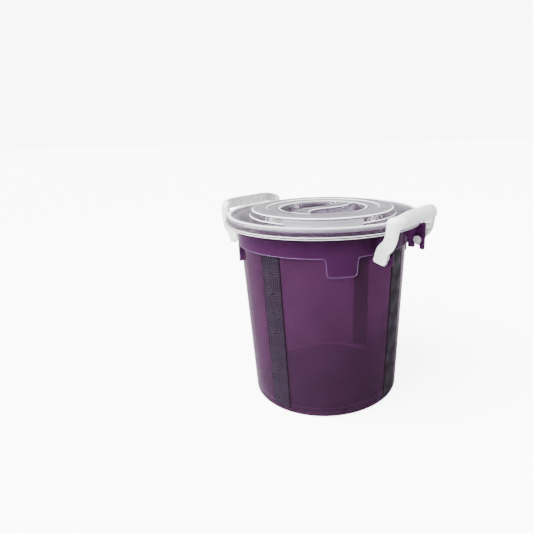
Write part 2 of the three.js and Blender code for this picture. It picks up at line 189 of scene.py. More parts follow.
# %% The shared surface group
moulding = bpy.data.node_groups.new("moulded_surface", "ShaderNodeTree")
for socket_name, socket_type, start in (
    ("Main Color", "NodeSocketColor", (0.5, 0.5, 0.5, 1)),
    ("Drift Color", "NodeSocketColor", (0.45, 0.45, 0.45, 1)),
    ("Drift Scale", "NodeSocketFloat", 14.0),
    ("Gloss Low", "NodeSocketFloat", 0.2),
    ("Gloss High", "NodeSocketFloat", 0.32),
    ("Grain Scale", "NodeSocketFloat", 900.0),
    ("Scratch Depth", "NodeSocketFloat", 0.4),
):
    made_socket = moulding.interface.new_socket(name=socket_name, in_out="INPUT", socket_type=socket_type)
    made_socket.default_value = start
for socket_name, socket_type in (
    ("Color", "NodeSocketColor"),
    ("Roughness", "NodeSocketFloat"),
    ("Height", "NodeSocketFloat"),
):
    moulding.interface.new_socket(name=socket_name, in_out="OUTPUT", socket_type=socket_type)

group_in = moulding.nodes.new("NodeGroupInput")
group_out = moulding.nodes.new("NodeGroupOutput")
place = moulding.nodes.new("ShaderNodeTexCoord")
join = moulding.links.new

drift = node(moulding, "ShaderNodeTexNoise", Detail=3.0, Roughness=0.55)
join(place.outputs["Object"], drift.inputs["Vector"])
join(group_in.outputs["Drift Scale"], drift.inputs["Scale"])
drift_fade = node(moulding, "ShaderNodeMapRange", interpolation_type="SMOOTHSTEP")
drift_fade.inputs["From Min"].default_value = 0.35
drift_fade.inputs["From Max"].default_value = 0.68
join(drift.outputs["Fac"], drift_fade.inputs["Value"])
drift_share = drift_fade.outputs["Result"]
main_color, drift_tint = group_in.outputs["Main Color"], group_in.outputs["Drift Color"]
drift_color = mixed(moulding, drift_share, main_color, drift_tint, "RGBA")
join(drift_color, group_out.inputs["Color"])

grain = node(moulding, "ShaderNodeTexNoise", Detail=2.0)
join(place.outputs["Object"], grain.inputs["Vector"])
join(group_in.outputs["Grain Scale"], grain.inputs["Scale"])

stretched = node(moulding, "ShaderNodeMapping", Scale=(40.0, 900.0, 60.0), Rotation=(0.3, 0.5, 0.9))
join(place.outputs["Object"], stretched.inputs["Vector"])
scratch = node(moulding, "ShaderNodeTexNoise", Scale=1.0, Detail=1.0)
join(stretched.outputs["Vector"], scratch.inputs["Vector"])
scratch_line = node(moulding, "ShaderNodeMapRange")
scratch_line.inputs["From Min"].default_value = 0.68
scratch_line.inputs["From Max"].default_value = 0.76
join(scratch.outputs["Fac"], scratch_line.inputs["Value"])
scratch_mark = node(moulding, "ShaderNodeMath", operation="MULTIPLY")
join(scratch_line.outputs["Result"], scratch_mark.inputs[0])
join(group_in.outputs["Scratch Depth"], scratch_mark.inputs[1])

gloss = mixed(moulding, drift_share, group_in.outputs["Gloss Low"], group_in.outputs["Gloss High"])
gloss_worn = node(moulding, "ShaderNodeMath", operation="MULTIPLY_ADD", use_clamp=True)
join(scratch_mark.outputs["Value"], gloss_worn.inputs[0])
gloss_worn.inputs[1].default_value = 0.25
join(gloss, gloss_worn.inputs[2])
join(gloss_worn.outputs["Value"], group_out.inputs["Roughness"])

height = node(moulding, "ShaderNodeMath", operation="SUBTRACT")
join(grain.outputs["Fac"], height.inputs[0])
join(scratch_mark.outputs["Value"], height.inputs[1])
join(height.outputs["Value"], group_out.inputs["Height"])
print("surface group:", [s.name for s in moulding.interface.items_tree])

# %% [markdown]
# ## The plastics
# The bucket is dyed through, so light that crosses a wall comes out purple: transmission with a coloured base.
# The index of the purple is kept low, because a strong reflection of a bright room would turn it grey.
# The lid has almost no dye, and its colour is that of what lies behind it. A part of the light goes straight
# through by Alpha, which also lets light reach the inside. Its plateau is frosted, and its edges are milky and
# whiter, partly from thicker plastic and partly as a painted highlight.
# The handles are white and thick enough to hide most of what is behind them.
# Transmission and index are the same all over a piece, so they are set on the shader itself.

# %% Plastics
SCRATCH_DEPTH = 0.12


def plastic(
    name, main, drift_tone, gloss_range, transmission, grain_size, bump,
    drift_scale=14.0, ior=1.49, mirror=0.5, alpha=1.0,
):
    """A moulded plastic. Colours are linear, and transmission is the share of light that goes through."""
    material = bpy.data.materials.new(name)
    material.use_nodes = True
    tree = material.node_tree
    shader = tree.nodes["Principled BSDF"]
    surface = tree.nodes.new("ShaderNodeGroup")
    surface.node_tree = moulding
    surface.inputs["Main Color"].default_value = (*main, 1)
    surface.inputs["Drift Color"].default_value = (*drift_tone, 1)
    surface.inputs["Drift Scale"].default_value = drift_scale
    surface.inputs["Gloss Low"].default_value, surface.inputs["Gloss High"].default_value = gloss_range
    surface.inputs["Grain Scale"].default_value = grain_size
    surface.inputs["Scratch Depth"].default_value = SCRATCH_DEPTH
    tree.links.new(surface.outputs["Color"], shader.inputs["Base Color"])
    tree.links.new(surface.outputs["Roughness"], shader.inputs["Roughness"])
    relief = node(tree, "ShaderNodeBump", Strength=bump, Distance=0.0003)
    tree.links.new(surface.outputs["Height"], relief.inputs["Height"])
    tree.links.new(relief.outputs["Normal"], shader.inputs["Normal"])
    shader.inputs["Transmission Weight"].default_value = transmission
    shader.inputs["IOR"].default_value = ior
    shader.inputs["Specular IOR Level"].default_value = mirror
    shader.inputs["Alpha"].default_value = alpha
    return material


purple = plastic(
    "purple_wall", (0.265, 0.112, 0.255), (0.23, 0.095, 0.225), (0.09, 0.12), 0.93, 700.0, 0.008, ior=1.12)
deep_purple = plastic(
    "purple_rim", (0.115, 0.026, 0.12), (0.1, 0.022, 0.105), (0.12, 0.16), 0.72, 700.0, 0.008, ior=1.15)
# A lighter copy of the rim purple, a painted highlight along the apron's edge.
edge_highlight_purple = plastic(
    "purple_edge_highlight", (0.26, 0.14, 0.32), (0.23, 0.12, 0.28), (0.14, 0.2), 0.6, 700.0, 0.04, ior=1.3)
# A lighter purple for a painted highlight: the ring in the floor's corner.
glint_purple = plastic(
    "purple_glint", (0.38, 0.23, 0.38), (0.32, 0.19, 0.32), (0.2, 0.3), 0.3, 700.0, 0.04, ior=1.3)
strip_purple = plastic(
    "purple_strip", (0.0085, 0.004, 0.0085), (0.007, 0.0035, 0.0075), (0.3, 0.4), 0.0, 1400.0, 0.1,
    drift_scale=30.0, mirror=0.1)
clear = plastic(
    "clear_lid", (0.9, 0.86, 0.97), (0.87, 0.83, 0.95), (0.03, 0.07), 0.985, 500.0, 0.02,
    drift_scale=9.0, ior=1.34, alpha=0.5)
frosted = plastic(
    "frosted_lid", (0.9, 0.91, 0.95), (0.86, 0.87, 0.92), (0.28, 0.36), 0.92, 500.0, 0.03,
    drift_scale=9.0, ior=1.36, alpha=0.65)
# Milky plastic, whiter than the clear lid: thicker plastic at the turns, and a painted highlight along them.
milky_highlight = plastic(
    "milky_lid_highlight", (0.96, 0.97, 0.98), (0.93, 0.94, 0.96), (0.08, 0.16), 0.25, 500.0, 0.04,
    drift_scale=9.0, ior=1.45)
white = plastic(
    "white_handle", (0.95, 0.96, 0.96), (0.91, 0.925, 0.93), (0.24, 0.34), 0.4, 600.0, 0.1)
soft_seal = plastic(
    "pale_seal", (0.8, 0.78, 0.8), (0.74, 0.72, 0.75), (0.3, 0.4), 0.85, 500.0, 0.1, ior=1.3)
print("plastics:", [m.name for m in bpy.data.materials])

# %% [markdown]
# The strips carry fine arcs, whose ridges catch more light than their grooves.
# The strip's points store how high each ridge is, and this share mixes in a lighter purple, a painted highlight
# on the ridges.

# %% Painted highlight on the ridges
RIDGE_HIGHLIGHT_TONE = (0.028, 0.019, 0.036, 1)

strip_tree = strip_purple.node_tree
strip_color = strip_tree.nodes["Principled BSDF"].inputs["Base Color"]
ridge = node(strip_tree, "ShaderNodeAttribute", attribute_name="ridge")
ridge_highlight_color = mixed(strip_tree, ridge.outputs["Fac"], strip_color.links[0].from_socket, RIDGE_HIGHLIGHT_TONE, "RGBA")
strip_tree.links.new(ridge_highlight_color, strip_color)
print("ridges of", strip_purple.name, "mixed in from the attribute", ridge.attribute_name)

# %% [markdown]
# ## Drawing with a point
# Every thin-walled moulding starts as a line. By hand this is a single point that is extruded again and again.
# The helpers do just that: they start a point, extrude it along a list of places, and close or turn the line.
# Real mouldings have no sharp corners, so a line can be softened first: each corner becomes a short curve.

# %% Helpers for drawing
def start_point(name):
    """A new mesh of one point at the origin, in edit mode."""
    if bpy.context.mode != "OBJECT":
        bpy.ops.object.mode_set(mode="OBJECT")
    bpy.ops.object.select_all(action="DESELECT")
    bpy.ops.mesh.primitive_plane_add(size=0.01, location=(0, 0, 0))
    piece = bpy.context.object
    piece.name = name
    bpy.ops.object.mode_set(mode="EDIT")
    bpy.ops.mesh.merge(type="CENTER")
    return piece


def softened(points, size, steps=3, closed=False):
    """The same line in which each corner is a short curve that starts up to size before it."""
    count = len(points)
    made = [] if closed else [Vector(points[0])]
    for i in range(count) if closed else range(1, count - 1):
        before, corner, after = Vector(points[i - 1]), Vector(points[i]), Vector(points[(i + 1) % count])
        reach = [min(size, 0.45 * (corner - end).length) for end in (before, after)]
        start = corner + (before - corner).normalized() * reach[0]
        end = corner + (after - corner).normalized() * reach[1]
        for k in range(steps + 1):
            t = k / steps
            made.append(start * (1 - t) ** 2 + corner * 2 * t * (1 - t) + end * t**2)
    return made if closed else made + [Vector(points[-1])]


def around(radius, angle, z):
    """A place at an angle round the bucket's axis, from the front towards the right handle."""
    return (radius * math.sin(angle), -radius * math.cos(angle), z)


def drawn_line(name, points, closed=False):
    """A point extruded along places given in millimetres. It stays in edit mode, all selected."""
    piece = start_point(name)
    places = [Vector(p) * MM for p in points]
    if closed:
        places.append(places[0])
    bpy.ops.transform.translate(value=places[0])
    for before, after in zip(places, places[1:]):
        bpy.ops.mesh.extrude_vertices_move(TRANSFORM_OT_translate={"value": after - before})
    bpy.ops.mesh.select_all(action="SELECT")
    bpy.ops.mesh.remove_doubles(threshold=1e-6)
    return piece


def turned(name, section, steps=192, closed=True, soft=0.8):
    """A section of (radius, height) in millimetres, softened, drawn and spun about Z."""
    line = softened([(r, 0, z) for r, z in section], soft, closed=closed)
    piece = drawn_line(name, line, closed=closed)
    bpy.ops.mesh.spin(steps=steps, angle=2 * math.pi, center=(0, 0, 0), axis=(0, 0, 1))
    return piece


def filled(thickness):
    """Fills a closed line that is all selected, and extrudes it along Y."""
    bpy.ops.mesh.edge_face_add()
    bpy.ops.mesh.extrude_region_move(TRANSFORM_OT_translate={"value": (0, thickness * MM, 0)})
    bpy.ops.mesh.select_all(action="SELECT")


print("drawing helpers ready")

# %% Helpers for finishing
def finished(piece, material, angle=38, bevel=0.0):
    """Merges doubles, turns the faces outward, softens the edges and shades the piece."""
    bpy.ops.object.mode_set(mode="EDIT")
    bpy.ops.mesh.select_all(action="SELECT")
    bpy.ops.mesh.remove_doubles(threshold=2e-6)
    bpy.ops.mesh.normals_make_consistent(inside=False)
    bpy.ops.object.mode_set(mode="OBJECT")
    bpy.ops.object.select_all(action="DESELECT")
    piece.select_set(True)
    bpy.context.view_layer.objects.active = piece
    if bevel:
        edge = piece.modifiers.new("soft_edges", "BEVEL")
        edge.width = bevel * MM
        edge.segments = 2
        edge.limit_method = "ANGLE"
        edge.angle_limit = math.radians(40)
        bpy.ops.object.modifier_apply(modifier=edge.name)
    piece.data.materials.clear()
    piece.data.materials.append(material)
    bpy.ops.object.shade_smooth_by_angle(angle=math.radians(angle))
    return piece


def placed(piece, body, slot, *nodes):
    """Puts a finished piece on its body, in the place of CAD nodes."""
    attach(piece, body)
    if nodes:
        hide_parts(*nodes)
    places = [v.co / MM for v in piece.data.vertices]
    low = [round(min(p[k] for p in places), 1) for k in range(3)]
    high = [round(max(p[k] for p in places), 1) for k in range(3)]
    print(f"{piece.name}: {len(piece.data.polygons)} faces, {low} to {high} mm")


def turned_copy(piece, name, degrees):
    """A copy with its own mesh, turned about the bucket's axis."""
    bpy.ops.object.select_all(action="DESELECT")
    copy = piece.copy()
    copy.data = piece.data.copy()
    copy.name = name
    bpy.context.scene.collection.objects.link(copy)
    copy.data.transform(Matrix.Rotation(math.radians(degrees), 4, "Z"))
    return copy


def copies_at(piece, name, angles):
    """Copies of a piece at angles in degrees about the axis. They take the place of the piece."""
    made = [turned_copy(piece, name, angle) for angle in angles]
    bpy.data.objects.remove(piece)
    return made


def joined(pieces, name):
    """Joins all pieces to the first one."""
    bpy.ops.object.select_all(action="DESELECT")
    for piece in pieces:
        piece.select_set(True)
    bpy.context.view_layer.objects.active = pieces[0]
    bpy.ops.object.join()
    whole = bpy.context.object
    whole.name = name
    return whole


def round_wire(line, radius, material):
    """Gives a drawn line a round section. It becomes a curve with a bevel, and then a mesh again."""
    bpy.ops.object.mode_set(mode="OBJECT")
    bpy.ops.object.convert(target="CURVE")
    line.data.bevel_depth = radius * MM
    line.data.bevel_resolution = 2
    bpy.ops.object.convert(target="MESH")
    return finished(bpy.context.object, material, angle=80)


print("finishing helpers ready")

# %% [markdown]
# ## The bucket wall
# The bucket is one even wall that is folded: down from the flat rim, in at the foot, and across as the floor.
# A narrow foot ring keeps the floor off the table. Drawn as a section and spun once, the wall keeps its
# thickness everywhere, which matters in translucent plastic because a thicker place is darker.

# %% Bucket wall
WALL = 2.6
FOOT_RADIUS = 139.4
APRON_FOOT_Z = 292.5
WALL_TAPER = (152.0 - FOOT_RADIUS) / APRON_FOOT_Z
RIM_UNDER_Z = 334.0


def wall_radius(z):
    """Outside of the tapered wall at a height."""
    return FOOT_RADIUS + WALL_TAPER * z


bucket_body = turned("bucket_body", [
    (0, 5.5), (60, 5.6), (131, 5.5), (132.6, 4), (133, 0), (136.8, 0), (wall_radius(2.6), 2.6),
    (wall_radius(150), 150), (wall_radius(RIM_UNDER_Z), RIM_UNDER_Z),
    (169.3, RIM_UNDER_Z), (169.3, 329), (171.5, 329), (171.5, 336.6), (wall_radius(336.6) - WALL, 336.6),
    (wall_radius(150) - WALL, 150), (wall_radius(16) - WALL, 16), (wall_radius(11) - WALL - 1.6, 11),
    (wall_radius(8.5) - WALL - 6, 8.5), (60, 8.4), (0, 8.5),
], closed=False, soft=1.0)
finished(bucket_body, purple)
placed(bucket_body, "bucket", "bucket", "bucket_shell")

# %% [markdown]
# A thin ring of lighter purple runs round the floor, in its corner with the wall. It is a painted highlight that
# stands for the light caught by the floor's rounded corner, and it shows through the wall as a fine lighter arc.

# %% Painted highlight in the floor's corner
CORNER_HIGHLIGHT_RADIUS = 128.6
CORNER_HIGHLIGHT_Z = 9.6

corner_highlight_circle = [around(CORNER_HIGHLIGHT_RADIUS, math.radians(a), CORNER_HIGHLIGHT_Z) for a in range(0, 360, 3)]
corner_highlight_bead = round_wire(drawn_line("corner_highlight_bead", corner_highlight_circle, closed=True), 0.45, glint_purple)
placed(corner_highlight_bead, "bucket", "bucket")

# %% [markdown]
# ## The rim apron
# Under the rim a second, outer wall stiffens the bucket. Its lower edge drops in four tabs with rounded corners.
# The edge is drawn first as one line round the bucket, then extruded straight up to the rim.
# Scaling the new ring to nothing in height makes it level, and Solidify gives the sheet its thickness.

# %% Rim apron
APRON_RADIUS = 157.0
APRON_WALL = 2.2
TAB_FOOT_Z = 261.5
TAB_HALF_WIDTH = 26.0
TAB_CORNER = 7.0
TAB_AZIMUTHS = (45, 135, 225, 315)


def half_tab():
    """Distances along the rim and heights of half a tab's edge, from its shoulder to its foot."""
    foot_half = TAB_HALF_WIDTH - 2
    corners = [
        (TAB_HALF_WIDTH + TAB_CORNER + 6, APRON_FOOT_Z), (TAB_HALF_WIDTH, APRON_FOOT_Z),
        (foot_half, TAB_FOOT_Z), (0, TAB_FOOT_Z),
    ]
    return softened([(s, z, 0) for s, z in corners], TAB_CORNER, steps=7)[1:-1]


tab_edge = half_tab()
edge_line = []
for tab_at in TAB_AZIMUTHS:
    middle = math.radians(tab_at)
    side = [(-p.x, p.y) for p in tab_edge] + [(0, TAB_FOOT_Z)] + [(p.x, p.y) for p in reversed(tab_edge)]
    quarter = [(middle + s / APRON_RADIUS, z) for s, z in side]
    last, following = quarter[-1][0], middle + math.pi / 2 - (quarter[-1][0] - middle)
    quarter += [(last + (following - last) * k / 12, APRON_FOOT_Z) for k in range(1, 12)]
    edge_line += quarter
apron = drawn_line("rim_apron_band", [around(APRON_RADIUS, a, z) for a, z in edge_line], closed=True)
for ring_z in (APRON_FOOT_Z + 4, 312.0, RIM_UNDER_Z - 0.2):
    bpy.ops.mesh.extrude_region_move(TRANSFORM_OT_translate={"value": (0, 0, 0.05)})
    bpy.ops.transform.resize(value=(1, 1, 0), center_override=(0, 0, ring_z * MM))
finished(apron, deep_purple)
sheet_wall = apron.modifiers.new("wall", "SOLIDIFY")
sheet_wall.thickness = APRON_WALL * MM
sheet_wall.offset = -1
bpy.ops.object.modifier_apply(modifier=sheet_wall.name)
finished(apron, deep_purple, bevel=0.55)
placed(apron, "bucket", "apron", "rim_apron")

# %% [markdown]
# The apron's foot carries a thin round bead. Its lighter purple is a painted highlight, the light line that the
# rounded edge catches. A drawn line becomes a curve, whose bevel gives it its thickness.

# %% Bead along the apron's edge, with a painted highlight
BEAD_RADIUS = 0.75

bead_edge = [around(APRON_RADIUS - 0.4, a, z + 0.5) for a, z in edge_line]
apron_bead = round_wire(drawn_line("apron_bead", bead_edge, closed=True), BEAD_RADIUS, edge_highlight_purple)
placed(apron_bead, "bucket", "apron")

# %% [markdown]
# ## Ribs behind the apron
# Eight thin ribs join the apron to the wall beside the strips. They show as darker upright lines.
# Eight shorter ones close the sides of the tabs. One rib of each kind is drawn, filled and extruded.
# The rest are copies turned about the axis, and all of them are joined.

# %% Apron ribs
STRIP_AZIMUTHS = (0, 90, 180, 270)
DRAWN_AT = 90
RIB_ASIDE = 17
TAB_RIB_ASIDE = 9.0


def upright_rib(name, foot_z, top_z, foot_at, gap, corner, thickness):
    """A flat rib between the wall and the apron, on the right of the bucket."""
    outer = APRON_RADIUS - gap
    side = [
        (wall_radius(foot_at) - 0.2, 0, foot_z), (outer, 0, foot_z),
        (outer, 0, top_z), (wall_radius(top_z) - 0.2, 0, top_z),
    ]
    piece = drawn_line(name, softened(side, corner, closed=True), closed=True)
    filled(thickness)
    bpy.ops.transform.translate(value=(0, -thickness / 2 * MM, 0))
    return finished(piece, deep_purple, bevel=0.3)


def beside(azimuths, aside):
    """Turns for the two places beside each azimuth."""
    return [azimuth - DRAWN_AT + offset for azimuth in azimuths for offset in (-aside, aside)]


long_rib = upright_rib("apron_rib", 294.5, 333.4, 296, 1.2, 1.5, 1.8)
all_ribs = copies_at(long_rib, "apron_rib_copy", beside(STRIP_AZIMUTHS, RIB_ASIDE))
short_rib = upright_rib("tab_rib", 264.5, 300, 266, 1.6, 1.0, 1.4)
all_ribs += copies_at(short_rib, "tab_rib_copy", beside(TAB_AZIMUTHS, TAB_RIB_ASIDE))
placed(joined(all_ribs, "apron_ribs"), "bucket", "apron")

# %% [markdown]
# ## The textured strips
# Four upright strips are cut with fine arcs, like the rings of a shell, whose centres change sides as they climb.
# The arcs are shallow, but they catch light, so they are real relief and not only a bump.
# A grid is bent to the wall and each of its points is lifted by a wave of its distance from the nearest centre.

# %% Strip relief
STRIP_WIDTH = 36.0
STRIP_FOOT_Z, STRIP_TOP_Z = 12.0, 291.0
STRIP_PROUD = 1.5
ARC_PITCH = 4.0
ARC_DEPTH = 0.7
CENTRE_STEP = 36.0
CENTRE_ASIDE = 9.5


def arc_wave(s, z):
    """Height of the arcs at a place on the strip, from 0 to 1."""
    nearest = 1e9
    first = int((z - STRIP_FOOT_Z) // CENTRE_STEP)
    for k in range(first - 1, first + 3):
        centre_s = CENTRE_ASIDE if k % 2 else -CENTRE_ASIDE
        centre_z = STRIP_FOOT_Z + CENTRE_STEP * (k + 0.45)
        nearest = min(nearest, math.hypot(s - centre_s, (z - centre_z) * 0.92))
    return (0.5 + 0.5 * math.cos(2 * math.pi * nearest / ARC_PITCH)) ** 1.6


bpy.ops.object.select_all(action="DESELECT")
bpy.ops.mesh.primitive_grid_add(x_subdivisions=56, y_subdivisions=400, size=2)
strip = bpy.context.object
strip.name = "arc_strip_front"
# Each point also stores its share of the painted highlight on the ridges.
ridge_highlight_share = strip.data.attributes.new("ridge", "FLOAT", "POINT")
for v in strip.data.vertices:
    s = v.co.x * STRIP_WIDTH / 2
    z = STRIP_FOOT_Z + (v.co.y + 1) / 2 * (STRIP_TOP_Z - STRIP_FOOT_Z)
    margin = min(STRIP_WIDTH / 2 - abs(s), z - STRIP_FOOT_Z, STRIP_TOP_Z - z)
    fade = min(1.0, max(0.0, (margin - 0.8) / 1.2))
    border = 1.0 - min(1.0, margin / 0.7) ** 2
    wave = arc_wave(s, z)
    ridge_highlight_share.data[v.index].value = fade * wave**2
    out = wall_radius(z) + STRIP_PROUD - ARC_DEPTH * fade * (1 - wave) - 0.9 * border
    v.co = Vector(around(out, s / wall_radius(z), z)) * MM
bpy.ops.object.mode_set(mode="EDIT")
bpy.ops.mesh.select_mode(type="EDGE")
bpy.ops.mesh.select_all(action="SELECT")
bpy.ops.mesh.region_to_loop()
bpy.ops.mesh.extrude_edges_move(TRANSFORM_OT_translate={"value": (0, 0.0012, 0)})
bpy.ops.mesh.edge_face_add()
bpy.ops.mesh.select_mode(type="VERT")
finished(strip, strip_purple, angle=60)
for strip_side, strip_at in (("right", 90), ("rear", 180), ("left", 270)):
    strip_copy = turned_copy(strip, f"arc_strip_{strip_side}", strip_at)
    placed(strip_copy, "bucket", "strip", f"grip_strip_{strip_side}")
placed(strip, "bucket", "strip", "grip_strip_front")

# %% [markdown]
# ## The hinge lugs
# Each handle hangs on two upright plates with a keyhole that is open at the bottom, so the pin can snap in.
# The side outline is drawn with its round hole as part of the same line, filled, and extruded to thickness.

# %% Hinge lugs
PIVOT_U, PIVOT_Z = 159.8, 293.0
KEYHOLE_RADIUS = 8.0
KEYHOLE_HALF_SLOT = 4.8
KEYHOLE_STEPS = 28
LUG_V, LUG_WALL = 62, 4

keyhole_rise = math.sqrt(KEYHOLE_RADIUS**2 - KEYHOLE_HALF_SLOT**2)
keyhole_start = math.atan2(-keyhole_rise, -KEYHOLE_HALF_SLOT)
keyhole_sweep = 2 * math.pi - (math.atan2(-keyhole_rise, KEYHOLE_HALF_SLOT) - keyhole_start)
keyhole = []
for k in range(KEYHOLE_STEPS + 1):
    angle = keyhole_start - keyhole_sweep * k / KEYHOLE_STEPS
    u = PIVOT_U + KEYHOLE_RADIUS * math.cos(angle)
    keyhole.append((u, LUG_V, PIVOT_Z + KEYHOLE_RADIUS * math.sin(angle)))
left_slot, right_slot = PIVOT_U - KEYHOLE_HALF_SLOT, PIVOT_U + KEYHOLE_HALF_SLOT
outer_corners = [
    (right_slot, 284), (right_slot, 276.5), (174, 276.5), (174, 325),
    (142.2, 325), (142.2, 278.5), (left_slot, 278.5), (left_slot, 284),
]
lug_outline = keyhole + softened([(u, LUG_V, z) for u, z in outer_corners], 2.4, steps=4)
lug = drawn_line("lug_plate_right_rear", lug_outline, closed=True)
filled(LUG_WALL)
finished(lug, deep_purple, bevel=0.5)
lug_across = lug.copy()
lug_across.data = lug.data.copy()
lug_across.name = "lug_plate_right_front"
bpy.context.scene.collection.objects.link(lug_across)
lug_across.data.transform(Matrix.Scale(-1, 4, (0, 1, 0)))
lug_across.data.flip_normals()
placed(turned_copy(lug, "lug_plate_left_front", 180), "bucket", "apron", "lug_left_front")
placed(turned_copy(lug_across, "lug_plate_left_rear", 180), "bucket", "apron", "lug_left_rear")
placed(lug, "bucket", "apron", "lug_right_rear")
placed(lug_across, "bucket", "apron", "lug_right_front")

# %% [markdown]
# ## The lid
# The lid is one thin sheet that steps up and down: a rounded rim with a skirt, a channel, a plateau and a well.
# The steps make it stiff. Where the sheet turns, more plastic lies in the line of sight, so the turns look white.
# Their whiter milky material is also a painted highlight along the turns.
# The skirt ends in a double bead. The section is drawn out along the top and back along the underside.

# %% Lid cover
CHANNEL_Z = 340.0
CREST_Z = 344.0
PLATEAU_Z = 351.0
WELL_FLOOR_Z = 334.0
WELL_EDGE_Z = 349.0
SKIRT_RADIUS = 176.8

lid_top = [
    (0, WELL_FLOOR_Z), (71, WELL_FLOOR_Z), (74, WELL_FLOOR_Z + 2), (77.2, WELL_EDGE_Z - 0.6),
    (78.4, WELL_EDGE_Z + 0.4), (82, WELL_EDGE_Z + 0.4), (83, WELL_EDGE_Z - 0.5), (99.5, WELL_EDGE_Z - 0.5),
    (101, PLATEAU_Z - 1.2), (103, PLATEAU_Z), (125.5, PLATEAU_Z - 0.3), (127.6, PLATEAU_Z),
    (129.4, PLATEAU_Z - 1.6), (131.8, CHANNEL_Z + 1.4), (133.6, CHANNEL_Z), (158.5, CHANNEL_Z),
    (162.4, CREST_Z - 1.2), (166.5, CREST_Z), (171.4, CREST_Z), (174.2, CREST_Z - 1.2), (175.0, CREST_Z - 3.6),
]
lid_skirt = [
    (175.3, 331.8), (SKIRT_RADIUS, 331.0), (SKIRT_RADIUS, 329.8), (175.7, 329.1), (SKIRT_RADIUS, 328.3),
    (SKIRT_RADIUS, 326.5), (174.2, 326.5), (173.4, 340), (171.6, 341.9), (166.2, 341.9), (161.2, CHANNEL_Z - 2),
]
lid_under = [
    (150.8, CHANNEL_Z - 2), (150.8, 330.5), (148.6, 330.5), (148.6, CHANNEL_Z - 2), (132.2, CHANNEL_Z - 2),
    (126.6, PLATEAU_Z - 2), (104, PLATEAU_Z - 2), (101.5, WELL_EDGE_Z - 2.4), (79.6, WELL_EDGE_Z - 2.4),
    (75.2, WELL_FLOOR_Z - 2), (0, WELL_FLOOR_Z - 2),
]
lid = turned("lid_cover", lid_top + lid_skirt + lid_under, steps=240, closed=False, soft=0.9)
finished(lid, clear)

# %% Milky edges with a painted highlight, and a frosted plateau
MILKY_HIGHLIGHT_INDEX, FROSTED_INDEX = 1, 2
PLATEAU_REACH = (84, 126)

milky_highlight_places = [
    (169.5, CREST_Z, 3.3), (176.4, 330.4, 0.75), (176.4, 327.4, 0.8), (127.8, PLATEAU_Z - 0.3, 1.5),
    (102, PLATEAU_Z - 0.4, 1.2), (79.5, WELL_EDGE_Z + 0.2, 1.7), (132.9, CHANNEL_Z + 0.6, 0.8),
    (73.5, WELL_FLOOR_Z + 0.6, 1.0),
]
lid.data.materials.append(milky_highlight)
lid.data.materials.append(frosted)
for face in lid.data.polygons:
    radius, z = math.hypot(face.center.x, face.center.y) / MM, face.center.z / MM
    if any(math.hypot(radius - r, z - middle_z) < reach for r, middle_z, reach in milky_highlight_places):
        face.material_index = MILKY_HIGHLIGHT_INDEX
    elif PLATEAU_REACH[0] < radius < PLATEAU_REACH[1] and abs(face.normal.z) > 0.9:
        face.material_index = FROSTED_INDEX
print("milky faces:", sum(face.material_index == MILKY_HIGHLIGHT_INDEX for face in lid.data.polygons))
placed(lid, "lid", "lid", "lid_panel")

# %% [markdown]
# ## Ribs under the skirt
# Sixteen short ribs on the bucket's rim centre the skirt. They stay below the rim, so they hardly show.

# %% Rim ribs
RIM_RIB_COUNT = 16

rim_rib = drawn_line("rim_rib", softened([
    (171.2, 0, 329.6), (173.0, 0, 330.0), (173.0, 0, 335.4), (171.2, 0, 336.2),
], 0.5, closed=True), closed=True)
filled(1.6)
finished(rim_rib, deep_purple, bevel=0.3)
rim_turns = [360 / RIM_RIB_COUNT * k - DRAWN_AT for k in range(RIM_RIB_COUNT)]
placed(joined(copies_at(rim_rib, "rim_rib_copy", rim_turns), "rim_ribs"), "bucket", "apron")

# %% [markdown]
# ## The bridges
# Two raised bridges cross the channel, in front and behind. Their ends are slanted.
# The section is spun through only a part of a turn, and each end is cut off at a slant with bisect.

# %% Lid bridges
LID_TURN = 34.5
BRIDGE_SWEEP = 80
BRIDGE_INNER, BRIDGE_OUTER = (122, 34), (172, 18)


def on_lid(radius, angle):
    """A place on the lid from its radius and its angle from the front."""
    return Vector(around(radius, math.radians(angle), 0)) * MM


def cut_slant(inner_end, outer_end):
    """Cuts along the upright plane through two places, keeps the side of the lid's front, and closes the cut."""
    along = outer_end - inner_end
    across = Vector((along.y, -along.x, 0)).normalized()
    if across.dot(on_lid(145, 0) - inner_end) > 0:
        across = -across
    bpy.ops.mesh.select_all(action="SELECT")
    bpy.ops.mesh.bisect(plane_co=inner_end, plane_no=across, use_fill=True, clear_outer=True)


bridge_section = softened([
    (134.6, 0, CHANNEL_Z + 0.3), (158.4, 0, CHANNEL_Z + 0.3), (163.2, 0, CREST_Z + 0.3),
    (160.2, 0, CREST_Z + 2.3), (132.0, 0, CREST_Z + 3.8), (131.1, 0, CREST_Z + 3.0), (132.9, 0, CHANNEL_Z + 1.9),
], 0.7, closed=True)
bridge = drawn_line("lid_bridge_plate_front", bridge_section, closed=True)
bpy.ops.mesh.edge_face_add()
bpy.ops.mesh.spin(steps=60, angle=math.radians(BRIDGE_SWEEP), center=(0, 0, 0), axis=(0, 0, 1))
finished(bridge, clear)
bridge.data.transform(Matrix.Rotation(math.radians(BRIDGE_SWEEP / 2 - DRAWN_AT), 4, "Z"))
bpy.ops.object.mode_set(mode="EDIT")
for side in (-1, 1):
    (inner_radius, inner_angle), (outer_radius, outer_angle) = BRIDGE_INNER, BRIDGE_OUTER
    cut_slant(on_lid(inner_radius, side * inner_angle), on_lid(outer_radius, side * outer_angle))
finished(bridge, frosted, bevel=0.5)
bridge.data.transform(Matrix.Rotation(math.radians(LID_TURN), 4, "Z"))
placed(turned_copy(bridge, "lid_bridge_plate_rear", 180), "lid", "lid", "lid_bridge_rear")
placed(bridge, "lid", "lid", "lid_bridge_front")

